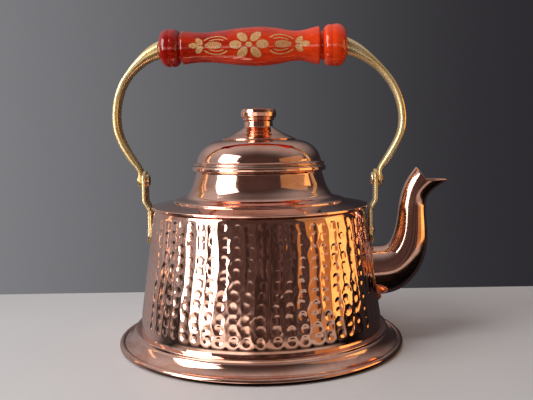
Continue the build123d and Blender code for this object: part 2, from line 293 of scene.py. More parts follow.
def spun(name, outline, segments=288, uneven=None, loop=True):
    """Outline of (radius, height) points turned about the kettle's axis. uneven gives
    each point off the axis a small change of radius from its angle and height."""
    outline = np.asarray(outline, float)
    angle = np.arange(segments) * TAU / segments
    radius = np.repeat(outline[:, :1], segments, axis=1)
    height = np.repeat(outline[:, 1:], segments, axis=1)
    if uneven is not None:
        radius = radius + np.where(radius > 1, uneven(angle[None, :], height), 0)
    rings = np.stack([radius * np.cos(angle), radius * np.sin(angle), height], -1)
    return skin(name, rings, loop=loop)


def turned_x(name, outline, z, segments):
    """Outline of (x, radius) points turned about a line along X at height z."""
    outline = np.asarray(outline, float)
    angle = np.arange(segments) * TAU / segments
    x = np.repeat(outline[:, :1], segments, axis=1)
    ring_y, ring_z = outline[:, 1:] * np.cos(angle), outline[:, 1:] * np.sin(angle)
    return skin(name, np.stack([x, ring_y, z + ring_z], -1))


def mirror_x(piece):
    """Moves the piece's points to the other side of the plane x = 0."""
    piece.data.transform(Matrix.Diagonal((-1, 1, 1, 1)))
    piece.data.flip_normals()


# ---- node materials ----
class Value:
    """Output of a node, whose arithmetic adds more nodes."""

    def __init__(self, nodes, socket):
        self.nodes, self.socket = nodes, socket

    def __add__(self, other):
        return self.nodes.calc("ADD", self, other)

    def __sub__(self, other):
        return self.nodes.calc("SUBTRACT", self, other)

    def __rsub__(self, other):
        return self.nodes.calc("SUBTRACT", other, self)

    def __mul__(self, other):
        return self.nodes.calc("MULTIPLY", self, other)

    def __truediv__(self, other):
        return self.nodes.calc("DIVIDE", self, other)

    def __abs__(self):
        return self.nodes.calc("ABSOLUTE", self)

    def span(self, low, high, to_low=0.0, to_high=1.0, kind="SMOOTHSTEP"):
        """Maps the range from low to high onto to_low to to_high and stops there."""
        numbers = dict(enumerate((self, low, high, to_low, to_high)))
        return self.nodes.node("ShaderNodeMapRange", numbers, interpolation_type=kind)


class Nodes:
    """Adds nodes to a tree. place is the coordinate that its textures use."""

    def __init__(self, tree):
        self.tree = tree
        self.place = None

    def feed(self, socket, value):
        if isinstance(value, Value):
            self.tree.links.new(value.socket, socket)
        elif isinstance(value, tuple) and len(value) == 3 and len(socket.default_value) == 4:
            socket.default_value = (*value, 1.0)
        else:
            socket.default_value = value

    def node(self, kind, inputs, output=0, **settings):
        """Adds a node, feeds its inputs by name or number and gives back one output."""
        made = self.tree.nodes.new(kind)
        for key, value in settings.items():
            setattr(made, key, value)
        for key, value in inputs.items():
            self.feed(made.inputs[key], value)
        return Value(self, made.outputs[output])

    def calc(self, operation, *values):
        return self.node("ShaderNodeMath", dict(enumerate(values)), operation=operation)

    def hypot(self, x, y):
        return self.calc("SQRT", x * x + y * y)

    def split(self):
        return [self.node("ShaderNodeSeparateXYZ", {0: self.place}, axis) for axis in range(3)]

    def vector(self, operation, first, second):
        """Vector sum, product or, with a number second, scaled vector."""
        key = "Scale" if operation == "SCALE" else 1
        return self.node("ShaderNodeVectorMath", {0: first, key: second}, operation=operation)

    def total(self, first, *others):
        for other in others:
            first = self.vector("ADD", first, other)
        return first

    def noise(self, per_mm, stretch=None, detail=3.0, rough=0.5, distortion=0.0, at=None):
        """Noise over place, over place stretched by three factors, or over at."""
        if stretch is not None:
            at = self.vector("MULTIPLY", self.place, stretch)
        return self.node("ShaderNodeTexNoise", {
            "Vector": at or self.place, "Scale": per_mm, "Detail": detail,
            "Roughness": rough, "Distortion": distortion})

    def mix(self, share, first, second):
        return self.node("ShaderNodeMix", {0: share, 6: first, 7: second}, 2, data_type="RGBA")


class Look(Nodes):
    """A node material under construction. Coordinates are millimetres on the piece."""

    def __init__(self, name):
        self.material = bpy.data.materials.new(name)
        self.material.use_nodes = True
        super().__init__(self.material.node_tree)
        self.shader = next(n for n in self.tree.nodes if n.type == "BSDF_PRINCIPLED")
        metres = self.node("ShaderNodeTexCoord", {}, "Object")
        self.place = self.vector("SCALE", metres, 1 / MM)

    def set(self, **values):
        """Sets or links shader inputs: Base_Color means the input Base Color."""
        for key, value in values.items():
            self.feed(self.shader.inputs[key.replace("_", " ")], value)

    def attribute(self, name):
        return self.node("ShaderNodeAttribute", {}, "Fac", attribute_name=name)

    def bump(self, height, depth_mm, below=None):
        """Relief whose height input, from 0 to 1, stands for depth_mm of metal."""
        inputs = {"Strength": 1.0, "Distance": depth_mm * MM, "Height": height}
        if below is not None:
            inputs["Normal"] = below
        return self.node("ShaderNodeBump", inputs)


def copper_look(name, pale, deep, low_rough, high_rough, spin_lines=0.0, dents=False):
    """Polished copper: turning lines, wiping smudges, faint scratches and tarnish."""
    look = Look(name)
    smudge = look.noise(0.035, detail=5.0, rough=0.6, distortion=0.6)
    wipe = look.noise(0.22, (0.6, 0.6, 2.2), detail=4.0, rough=0.65)
    scratch_a = look.noise(0.5, (0.16, 2.6, 2.1), detail=2.0).span(0.66, 0.74)
    scratch_b = look.noise(0.45, (2.3, 0.2, 1.5), detail=2.0).span(0.68, 0.76)
    tarnish = (smudge * 0.7 + wipe * 0.3).span(0.42, 0.66)
    colour = look.mix(tarnish, pale, deep)
    rough = (wipe * 0.5 + smudge * 0.5).span(0.35, 0.65, low_rough, high_rough)
    rough = look.calc("MAXIMUM", scratch_a, scratch_b) * 0.05 + rough
    relief = look.bump(look.noise(0.11), 0.045)
    relief = look.bump(look.noise(0.9, detail=2.0), 0.0022, relief)
    if spin_lines:
        x, y, z = look.split()
        round_axis = look.calc("ARCTAN2", y, x) * 0.35
        turned = look.node("ShaderNodeCombineXYZ", {0: look.hypot(x, y), 1: z, 2: round_axis})
        lines = look.noise(2.1, rough=0.7, at=turned)
        relief = look.bump(lines, spin_lines, relief)
        rough = lines.span(0.5, 0.75) * 0.04 + rough
    if dents:
        depth = look.attribute("dent")
        colour = look.mix(depth * 0.35, colour, deep)
        colour = look.mix(look.attribute("ridge") * 0.4, colour, pale)
        rough = depth * 0.03 + rough
    look.set(Base_Color=colour, Roughness=rough, Metallic=1.0, Normal=relief)
    return look.material


def cast_look(name, pale, deep, low_rough, high_rough, grain_mm, metal=1.0):
    """Sand-cast metal: pitted skin of grain_mm, filed smooth on its high spots. Strips,
    rivets and steel pieces wear it too, in their own colours."""
    look = Look(name)
    cast = look.noise(0.75, detail=4.0, rough=0.6)
    pits = look.node("ShaderNodeTexVoronoi", {"Vector": look.place, "Scale": 0.8}, "Distance")
    filed = look.noise(1.4, (0.35, 1.6, 1.0), detail=2.0)
    tone = (cast * 0.6 + look.noise(0.09) * 0.4).span(0.38, 0.62)
    rough = (filed * 0.5 + cast * 0.5).span(0.3, 0.7, low_rough, high_rough)
    relief = look.bump(cast, grain_mm)
    relief = look.bump(pits.span(0.05, 0.4), grain_mm * 0.6, relief)
    relief = look.bump(filed, grain_mm * 0.35, relief)
    look.set(Base_Color=look.mix(tone, deep, pale), Roughness=rough, Metallic=metal,
             Normal=relief)
    return look.material


PALE_COPPER, DEEP_COPPER = (0.94, 0.575, 0.455), (0.80, 0.405, 0.285)
copper = copper_look("polished_copper", PALE_COPPER, DEEP_COPPER, 0.05, 0.12, spin_lines=0.003)
spout_copper = copper_look("drawn_copper", PALE_COPPER, DEEP_COPPER, 0.08, 0.14)
hammered = copper_look("hammered_copper", PALE_COPPER, DEEP_COPPER, 0.035, 0.10,
                       spin_lines=0.0018, dents=True)
tinned = copper_look("tinned_copper", (0.74, 0.71, 0.67), (0.52, 0.48, 0.44), 0.26, 0.45,
                     spin_lines=0.006)
brass = cast_look("cast_brass", (1.0, 0.83, 0.47), (0.93, 0.66, 0.27), 0.2, 0.34, 0.010,
                  metal=0.8)
strip_brass = cast_look("strip_brass", (1.0, 0.85, 0.50), (0.86, 0.63, 0.28), 0.2, 0.36, 0.012,
                        metal=0.85)
rivet_brass = cast_look("rivet_brass", (0.97, 0.82, 0.52), (0.78, 0.57, 0.28), 0.14, 0.28, 0.016)
rivet_copper = cast_look("rivet_copper", (0.94, 0.80, 0.74), (0.80, 0.60, 0.52), 0.14, 0.3, 0.016)
steel = cast_look("steel", (0.56, 0.56, 0.57), (0.36, 0.34, 0.33), 0.26, 0.44, 0.03)


def solder_look():
    """Brazing metal: orange copper flux over a dull bead, rough where it ran."""
    look = Look("solder")
    lumps = look.noise(0.7, detail=5.0, rough=0.65)
    low = look.split()[2].span(46.0, 33.0)
    clean = look.mix(lumps.span(0.4, 0.6), (0.55, 0.31, 0.19), (0.78, 0.56, 0.42))
    burnt = look.mix(lumps.span(0.42, 0.6), (0.22, 0.045, 0.015), (0.86, 0.27, 0.08))
    look.set(Base_Color=look.mix(low, clean, burnt), Metallic=low.span(0.0, 1.0, 1.0, 0.6),
             Roughness=lumps.span(0.3, 0.7, 0.22, 0.5),
             Normal=look.bump(look.noise(2.4), 0.12, look.bump(lumps, 0.5)))
    return look.material


# ---- the hammered wall ----
def hammer_dents(z, columns, row_z, sway):
    """How far the dents push each point inward, and how near the point is to the middle
    of a dent's raised lip. The dents stand in slightly wandering columns."""
    push, ridge = np.zeros((len(z), columns)), np.zeros((len(z), columns))
    rng = np.random.default_rng(41)
    for c in range(DENT_COLUMNS):
        drift = rng.normal(0, COLUMN_SCATTER)
        from_worn = ((c + 0.5) * PITCH - WORN_FACE_ANGLE) / WORN_FACE_HALF_WIDTH
        left_over = 1 - WORN_DENTS * math.exp(-from_worn**2)
        for base_z in row_z:
            lowest = base_z == row_z[0]
            spot_z = base_z + rng.normal(0, LOWEST_ROW_SCATTER if lowest else ROW_SCATTER)
            wander = sway(c * PITCH, spot_z) * COLUMN_SWAY + rng.normal(0, DENT_SCATTER)
            spot = (c + 0.5 + drift + wander) * PITCH
            half_w = DENT_HALF_WIDTH * rng.uniform(*DENT_SIZE_RANGE)
            half_h = DENT_HALF_HEIGHT * rng.uniform(*DENT_SIZE_RANGE)
            depth = DENT_DEPTH * rng.uniform(*DENT_DEPTH_RANGE) * (1.0 if lowest else left_over)
            rows = np.where(np.abs(z - spot_z) < half_h * DENT_REACH)[0]
            reach = half_w * DENT_REACH / wall_radius(spot_z)
            first = math.floor((spot - reach) / TAU * columns)
            last = math.ceil((spot + reach) / TAU * columns)
            cols = np.arange(first, last + 1)
            across = (cols * TAU / columns - spot) * wall_radius(spot_z) / half_w
            up = (z[rows] - spot_z) / half_h
            rho = np.sqrt(across[None, :] ** 2 + up[:, None] ** 2)
            edge = np.clip((1.12 - rho) / 0.62, 0, 1)
            bowl = 0.8 * edge**2 * (3 - 2 * edge) + 0.2 * np.clip(1 - rho**2, 0, 1)
            lip = np.exp(-((rho - 1.27) / 0.22) ** 2)
            patch = np.ix_(rows, cols % columns)
            push[patch] = np.minimum(push[patch], -depth * bowl)
            ridge[patch] = np.maximum(ridge[patch], lip)
    return push, ridge


def column_crests(angle, z, row_height, sway):
    """Gentle rise between the columns of dents, with a crest that bends from row to row."""
    cell = angle / PITCH - COLUMN_SWAY * sway(angle, z)
    rise = COLUMN_RIPPLE * np.cos(TAU * cell)
    bends = np.random.default_rng(43).normal(0, CREST_BEND, (DENT_COLUMNS, DENT_ROWS + 1))
    step = np.clip((z - DENT_LOW_Z) / row_height + 0.5, 0, DENT_ROWS - 0.001)
    below = np.floor(step).astype(int)
    ease = (1 - np.cos(math.pi * (step - below))) / 2
    border = np.round(cell).astype(int) % DENT_COLUMNS
    bend = bends[border, below] * (1 - ease) + bends[border, below + 1] * ease
    aside = (cell - np.round(cell) - bend) * PITCH * wall_radius(z)
    worn_face = np.exp(-((angle - WORN_FACE_ANGLE) / WORN_FACE_HALF_WIDTH) ** 2)
    crest = np.exp(-(aside / CREST_HALF_WIDTH) ** 2)
    return rise + CREST_HEIGHT * (1 - WORN_CRESTS * worn_face) * crest


def hammered_wall():
    """Cone of the vessel: hammered outside, with a groove above its foot, plain inside."""
    columns, inner_columns = 768, 192
    low_rows = [WALL_FOOT_Z, 11.2, 12.2, 13.0, 13.8, 14.6, 15.3, 16.0]
    z = np.array(low_rows + list(np.linspace(16.6, 92.4, 112)) + [93.2, 94.2, WALL_TOP_Z])
    grid_angle, grid_z = np.meshgrid(np.arange(columns) * TAU / columns, z)
    row_z = np.linspace(DENT_LOW_Z, DENT_HIGH_Z, DENT_ROWS)
    sway = ripple(5, 6, 5, 0.09)
    push, ridge = hammer_dents(z, columns, row_z, sway)
    crests = column_crests(grid_angle, grid_z, row_z[1] - row_z[0], sway)
    broad, small = ripple(8, 10, 9, 0.1), ripple(9, 14, 42, 0.5)
    fade = np.clip((grid_z - 17.0) / 4.0, 0, 1) * np.clip((92.6 - grid_z) / 3.0, 0, 1)
    relief = fade * (crests + LIP_HEIGHT * ridge + SMALL_UNEVEN * small(grid_angle, grid_z))
    even = BROAD_UNEVEN * broad(grid_angle, grid_z)
    groove = GROOVE_DEPTH * np.exp(-((grid_z - GROOVE_Z) / GROOVE_HALF_WIDTH) ** 2)
    near_top = np.clip((grid_z - TOP_TURN_Z) / (WALL_TOP_Z - TOP_TURN_Z), 0, 1)
    turned_in = TOP_TURN_IN * near_top ** 2.2
    radius = wall_radius(grid_z) + push + relief + even - groove - turned_in - WALL_INSET

    outer = np.stack([radius * np.cos(grid_angle), radius * np.sin(grid_angle), grid_z], -1)
    inner_z = np.linspace(WALL_TOP_Z, WALL_FOOT_Z, 12)
    inside = np.arange(inner_columns) * TAU / inner_columns
    inner_radius = wall_radius(inner_z)[:, None] - WALL_SHEET
    height = np.repeat(inner_z[:, None], inner_columns, axis=1)
    inner = np.stack([inner_radius * np.cos(inside), inner_radius * np.sin(inside), height], -1)

    rows, first_inner, share = len(z), outer[..., 0].size, columns // inner_columns
    faces = ring_quads(rows, columns)
    faces += ring_quads(len(inner_z), inner_columns, first=first_inner)
    last_inner = first_inner + (len(inner_z) - 1) * inner_columns
    for outer_row, inner_row in (((rows - 1) * columns, first_inner), (0, last_inner)):
        for s in range(inner_columns):
            edge = [outer_row + (s * share + q) % columns for q in range(share + 1)]
            faces.append(edge + [inner_row + (s + 1) % inner_columns, inner_row + s])
    points = np.vstack([outer.reshape(-1, 3), inner.reshape(-1, 3)])
    piece = new_piece("hammered_wall", points, faces)
    for name, values in (("dent", -push / DENT_DEPTH), ("ridge", ridge * fade)):
        padded = np.zeros(len(points), np.float32)
        padded[:first_inner] = np.clip(values, 0, 1).ravel()
        stored = piece.data.attributes.new(name, "FLOAT", "POINT")
        stored.data.foreach_set("value", padded)
    finish_mesh(piece, merge=False)
    return piece


# ---- spun pieces of the vessel ----
def spun_skirt():
    """Foot ring: a ledge under the wall and a hollow curve down to the rolled rim."""
    ledge = rounded([(85.2, 12.45), (88.9, 12.2), (89.1, 10.4), (90.0, 9.8)], [0.6, 0.35],
                    steps=8)
    cove = spline([(90.2, 9.5), (91.6, 7.3), (93.7, 5.2), (96.6, 3.68)], 7, start=(0.5, -1))
    line = np.vstack([ledge[:-1], cove])
    body = ripple(21, 6, 7, 0.1)
    return spun("spun_skirt", sheet_loop(line, SKIRT_SHEET),
                uneven=lambda a, z: SKIRT_UNEVEN * body(a, z))


def rolled_base():
    """Flat bottom whose edge is rolled up and over the rim wire."""
    bead_r, bead_z, bead, wire = 97.8, 2.2, 2.17, 1.25
    turn = np.radians(np.linspace(-90, 196, 34))
    rolled = np.column_stack([bead_r + bead * np.cos(turn), bead_z + bead * np.sin(turn)])
    hollow = np.column_stack([bead_r + wire * np.cos(turn), bead_z + wire * np.sin(turn)])[::-1]
    flat, under_z, over_z, most_out = (0, 30, 60, 85, 94), 0.03, 0.95, 0.02
    under, over = [(r, under_z) for r in flat], [(r, over_z) for r in flat[::-1]]
    body = ripple(23, 5, 6, 0.1)
    return spun("rolled_base", np.vstack([under, rolled, hollow, over]), loop=False,
                uneven=lambda a, z: np.minimum(BASE_UNEVEN * body(a, z), most_out))


def spun_shoulder():
    """Seam, sloping shoulder, neck foot, neck and collar in one skin."""
    outside = rounded([(75.2, 95.15), (75.9, 95.25), (75.85, 96.85), (74.6, 97.0),
                       (60.45, 99.36), (60.3, 100.3), (58.6, 101.0), (51.6, 102.6),
                       (47.4, 109.2), (44.3, 119.4), (44.6, 120.5), (47, 120.5),
                       (47, 124.4), (43.6, 124.4)],
                      [0.3, 0.55, 0.5, 0.25, 0.45, 0.6, 5.5, 20.0, 0.8, 0.35, 1.3, 1.6], steps=8)
    inside = rounded([(43.0, 123.9), (43.0, 119.9), (46.2, 109.0), (50.9, 101.4),
                      (58.2, 99.6), (59.4, 98.45), (72.8, 96.1), (73.2, 95.2)],
                     [3.0, 18.0, 4.5, 0.6, 0.8, 0.3], steps=5)
    body, inset = ripple(31, 7, 6, 0.06), 0.04
    return spun("spun_shoulder", np.vstack([outside, inside]),
                uneven=lambda a, z: SHOULDER_UNEVEN * body(a, z) - inset)


def domed_lid():
    """Dome of sheet with a small turned-out edge that sits on the collar."""
    dome = spline([(20.0, 142.3), (28.5, 141.6), (35.3, 139.3), (40.0, 135.4), (42.7, 130.8),
                   (43.7, 127.4)], 7, start=(1, 0))
    line = np.vstack([[(2.5, 142.3), (10.0, 142.3)], dome,
                      [(44.15, 126.55), (44.8, 126.3), (46.2, 126.3)]])
    body, inset = ripple(37, 6, 5, 0.1), 0.02
    return spun("domed_lid", sheet_loop(line, LID_SHEET),
                uneven=lambda a, z: LID_UNEVEN * body(a, z) - inset)


def lid_inner_sleeve():
    """Tube under the dome that guides the lid in the neck."""
    outline = rounded([(41.45, 120), (41.45, 125.2), (45.5, 125.2), (45.5, 124.56), (42.35, 124.5),
                       (42.35, 114.6), (41.45, 114.6), (41.45, 119.9)],
                      [0.05, 0.25, 0.25, 0.1, 0.35, 0.35], steps=4)
    return spun("lid_inner_sleeve", outline[:-1], segments=192)


def finial_foot():
    """Hollow concave cone of thin sheet between the lid and the knob."""
    line = rounded([(2.5, 155.2), (10.0, 155.3), (10.1, 151.0), (13.8, 148.7), (18.4, 146.1),
                    (25.3, 142.95), (26.15, 142.5)], [0.9, 1.2, 12.0, 20.0, 0.5], steps=9)
    return spun("finial_cone", sheet_loop(line, CONE_SHEET), segments=192)


def finial_knob():
    """Turned knob on the cone, bored from below for its stud."""
    outline = rounded([(2.5, 155.3), (10.6, 155.3), (11.5, 156.0), (10.75, 156.8), (12.35, 157.9),
                       (12.62, 160.9), (11.9, 163.2), (9.0, 163.95), (0.0, 164.15)],
                      [0.3, 0.45, 0.4, 0.9, 1.6, 1.3, 2.0], steps=8)
    inside = np.array([(0.0, 161.6), (2.5, 161.5), (2.5, 158.0)])
    return spun("finial_knob", np.vstack([outline, inside, outline[:1]]), segments=160, loop=False)


# ---- the spout ----
SPOUT_SECTIONS = [            # (x, z) of the rear edge and of the front edge, half width
    ((66.0, 66.0), (68.5, 29.5), 17.8),
    ((80.0, 66.3), (84.0, 31.6), 17.4),
    ((88.5, 67.0), (97.6, 35.1), 16.6),
    ((92.3, 70.5), (109.0, 44.7), 15.3),
    ((94.6, 76.0), (116.1, 58.5), 13.6),
    ((96.1, 82.0), (117.9, 72.5), 11.9),
    ((97.2, 89.0), (117.2, 84.5), 10.3),
    ((98.1, 96.5), (116.6, 94.0), 9.4),
    ((99.4, 103.0), (117.9, 100.8), 9.1),
    ((103.0, 112.3), (124.0, 107.3), 8.9),
    ((109.6, 121.9), (132.0, 112.6), 8.2),
]
REAR_TIP, NOTCH, LIP_TOP_Z = (109.6, 121.7), (115.5, 112.75), 112.8


def spout_surface(inset, around):
    """Points of the gooseneck, one row per section, drawn in by inset."""
    table = np.array([[*rear, *front, half] for rear, front, half in SPOUT_SECTIONS])
    rows = spline(table, 14)
    rear, front, half = rows[:, 0:2], rows[:, 2:4], rows[:, 4]
    turn = np.arange(around) * TAU / around
    middle, arm = (rear + front) / 2, (front - rear) / 2
    length = np.linalg.norm(arm, axis=1)
    arm = arm * ((length - inset) / length)[:, None]
    cos, sin = np.cos(turn)[None, :], np.sin(turn)[None, :]
    x = middle[:, :1] + arm[:, :1] * cos
    z = middle[:, 1:] + arm[:, 1:] * cos
    y = (half[:, None] - inset) * sin
    return np.stack([x, y, z], -1)


def over_mouth(points):
    """How far each point lies above the cut of the mouth: a slope down to the notch and
    a level lip in front of it. Below zero is metal."""
    blend = 0.6
    x, z = points[..., 0], points[..., 2]
    slope = (NOTCH[1] - REAR_TIP[1]) / (NOTCH[0] - REAR_TIP[0])
    behind = z - (REAR_TIP[1] + slope * (x - REAR_TIP[0]))
    ahead = z - LIP_TOP_Z
    return -blend * np.logaddexp(-behind / blend, -ahead / blend)


def outside_wall(points, inset):
    """How far each point lies outside the wall, drawn in by inset."""
    x, y, z = points[..., 0], points[..., 1], points[..., 2]
    return np.hypot(x, y) - (wall_radius(z) - inset)


def trimmed_columns(grid, rows, root_inset):
    """Resamples each lengthwise line of the grid between the wall and the mouth."""
    out = np.zeros((rows, grid.shape[1], 3))
    root, mouth = outside_wall(grid, root_inset), over_mouth(grid)
    for c in range(grid.shape[1]):
        line = grid[:, c]
        start = max(np.where(root[:, c] < 0)[0])
        share = root[start, c] / (root[start, c] - root[start + 1, c])
        first = start + share
        above = np.where(mouth[start + 1:, c] > 0)[0]
        last = len(line) - 1.0
        if len(above):
            stop = start + 1 + above[0]
            last = stop - mouth[stop, c] / (mouth[stop, c] - mouth[stop - 1, c])
        steps = np.linspace(first, last, rows)
        for axis in range(3):
            out[:, c, axis] = np.interp(steps, np.arange(len(line)), line[:, axis])
    return out


def gooseneck_spout():
    """Tapered sheet tube from the wall to a lip that is rounded over at the mouth."""
    around, rows, lip_height = 96, 110, 0.35
    outer = trimmed_columns(spout_surface(0.0, around), rows, SPOUT_ROOT_DEPTH)
    inner = trimmed_columns(spout_surface(SPOUT_SHEET, around), rows, SPOUT_ROOT_DEPTH)
    lift = unit(np.array([0.35, 0, 1.0])) * lip_height
    lip = [outer[-1] * from_outer + inner[-1] * from_inner + lift * rise
           for from_outer, from_inner, rise in ((0.8, 0.2, 0.7), (0.5, 0.5, 1.0), (0.2, 0.8, 0.7))]
    rings = np.concatenate([outer, lip, inner[::-1]])
    return skin("gooseneck_spout", rings, loop=True)


def solder_bead():
    """Brazed bead in the corner between spout and wall, with a rough blob below."""
    around, sides = 120, 12
    from_spout, from_wall = 0.15, 0.05
    bead, bead_uneven, blob, blob_reach, blob_drop = 0.75, 0.16, 2.2, 0.20, 0.6
    grain, blob_grain = 0.035, 0.16
    path = trimmed_columns(spout_surface(-from_spout, around), 2, -from_wall)[0]
    outward = unit_rows(path * (1, 1, 0))
    tangent = unit_rows(np.roll(path, -1, 0) - np.roll(path, 1, 0))
    aside = np.cross(tangent, outward)
    rng = np.random.default_rng(17)
    lumps = ripple(19, 10, 24, 0.2)
    seam = np.arange(around) * TAU / around
    bottom = np.exp(-(seam / blob_reach) ** 2) + np.exp(-((seam - TAU) / blob_reach) ** 2)
    size = bead + bead_uneven * lumps(seam, 0) + blob * bottom
    drop = np.array([0, 0, -1.0]) * bottom[:, None] * blob_drop
    rings = []
    for turn in np.arange(sides) * TAU / sides:
        rough = 1 + rng.normal(0, grain, around) + blob_grain * bottom * rng.normal(0, 1, around)
        reach = (size * rough)[:, None]
        rings.append(path + reach * (math.cos(turn) * outward + math.sin(turn) * aside) + drop)
    return skin("solder_bead", np.stack(rings, 1), loop=True)


def cut_spout_hole(wall):
    """Opens the wall where the spout leaves it."""
    around, drawn_in, from_row, to_row = 72, 0.5, 2, 24
    grid = spout_surface(drawn_in, around)
    tool = skin("hole_tool", grid[from_row:to_row], capped=True)
    cut = wall.modifiers.new("hole", "BOOLEAN")
    cut.operation, cut.object, cut.solver = "DIFFERENCE", tool, "EXACT"
    graph = bpy.context.evaluated_depsgraph_get()
    pierced = bpy.data.meshes.new_from_object(wall.evaluated_get(graph))
    wall.modifiers.clear()
    wall.data = pierced
    bpy.data.objects.remove(tool)


# ---- brackets and rivets ----
def bar_ring(half_thick, half_wide, corner):
    """Closed outline of a rounded bar section, as (thickness, width) pairs."""
    steps = 3
    corner = min(corner, half_thick * 0.95, half_wide * 0.95)
    ring = []
    for quarter, (st, sw) in enumerate(((1, 1), (-1, 1), (-1, -1), (1, -1))):
        for k in range(steps + 1):
            a = math.pi / 2 * (quarter + k / steps)
            ring.append((st * (half_thick - corner) + corner * math.cos(a),
                         sw * (half_wide - corner) + corner * math.sin(a)))
    return np.array(ring)


def brass_bracket(name):
    """Bent strip: a plate for the pivot, a bend over the seam and a leaf on the wall."""
    top, end = PIVOT_Z + BRACKET_WIDTH / 2, BRACKET_WIDTH / 2
    edge_round, edge_uneven, end_thin, full_from = 0.65, 0.12, 0.55, 1.2
    line = rounded([(78.3, 68.3), (76.75, 76.5), (76.7, 93.2), (PLATE_INNER_X, 99.4),
                    (PLATE_INNER_X, top)], [12.0, 3.0, 4.0], steps=8)
    gaps = travelled(line)
    total = gaps[-1]
    near = end * (1 - np.cos(np.linspace(0.12, math.pi / 2, 12)))
    marks = np.concatenate([near, np.linspace(end, total - end, 44), total - near])
    marks = np.unique(marks.round(6))
    spine = np.column_stack([np.interp(marks, gaps, line[:, axis]) for axis in (0, 1)])
    middle = offset(spine, BRACKET_SHEET / 2)
    uneven = ripple(53 if name.endswith("left") else 54, 6, 1, 0.35)
    rings = []
    for mark, centre, way in zip(marks, middle, unit_rows(middle - spine)):
        to_end = min(mark, total - mark, end)
        half = math.sqrt(max(end**2 - (end - to_end) ** 2, 0.01))
        half += edge_uneven * float(uneven(0.0, mark)) * (half / end)
        thick = BRACKET_SHEET / 2 * min(1.0, end_thin + (1 - end_thin) * to_end / full_from)
        ring = bar_ring(thick, half, edge_round)
        rings.append([(centre[0] + way[0] * t, w, centre[1] + way[1] * t) for t, w in ring])
    return skin(name, rings, capped=True)


def leaf_rivet(name):
    """Hand-peened dome on the bracket's leaf, its shank and the head inside."""
    face = 78.85
    dome = spline(shifted(face, (2.4, 0.0), (2.2, 1.5), (1.55, 3.1), (0.75, 4.25),
                          (0.1, 4.65)), 6, start=(0, 1))
    rest = [(face - 0.2, 4.5), (face - 0.3, 2.0), (74.9, 2.0), (74.9, 3.6), (74.1, 3.55),
            (73.8, 3.0), (73.7, 0.0)]
    return turned_x(name, np.vstack([dome, rest]), LEAF_RIVET_Z, segments=48)


def pivot_rivet(name):
    """Bail pivot: broad head inside the bracket, shank, and peened end outside."""
    plate, outside = PLATE_INNER_X, LUG_INNER_X + LUG_SHEET + 0.12
    head = rounded(shifted(plate, (-2.0, 0.0), (-2.0, 3.9), (-1.0, 4.6), (0.0, 4.6),
                           (0.0, 2.15)), [1.1, 0.9, 0.2], steps=5)
    peen = spline(shifted(outside, (0.05, 3.1), (0.55, 3.05), (1.3, 2.2), (1.72, 0.9),
                          (1.78, 0.0)), 5)
    return turned_x(name, np.vstack([head, [(outside, 2.15)], peen]), PIVOT_Z, segments=48)


# ---- the bail ----
def arm_path(side):
    """Centre line of a bail arm, drawn for the +X side, from the lug to the grip."""
    lean = side * GRIP_OFFSET
    points = [(LUG_X, LUG_TOP_Z), (88.0, 126.0), (93.6, 134.6)]
    for degrees in (-12, 10, 30, 49):
        x = BOW_CENTRE[0] + BOW_RADIUS * math.cos(math.radians(degrees))
        z = BOW_CENTRE[1] + BOW_RADIUS * math.sin(math.radians(degrees))
        share = max(0.0, z - BOW_CENTRE[1]) / (GRIP_Z - BOW_CENTRE[1])
        points.append((x + lean * share, z))
    points.append((GRIP_HALF + lean, GRIP_Z - 1.1))
    return spline(points, 16, start=(0.2, 1), end=(-1, 0.32))


def soft_octagon(half_thick, half_wide):
    """Section of a filed bar: flat faces with broad bevels and slightly soft edges."""
    bevel = 0.56 * min(half_thick, half_wide)
    flat_thick, flat_wide = half_thick - bevel, half_wide - bevel
    corners = np.array([(flat_thick, half_wide), (-flat_thick, half_wide),
                        (-half_thick, flat_wide), (-half_thick, -flat_wide),
                        (-flat_thick, -half_wide), (flat_thick, -half_wide),
                        (half_thick, -flat_wide), (half_thick, flat_wide)])
    for share in (0.2, 0.25):
        ahead = np.roll(corners, -1, axis=0)
        first = corners * (1 - share) + ahead * share
        second = corners * share + ahead * (1 - share)
        corners = np.stack([first, second], 1).reshape(-1, 2)
    return corners


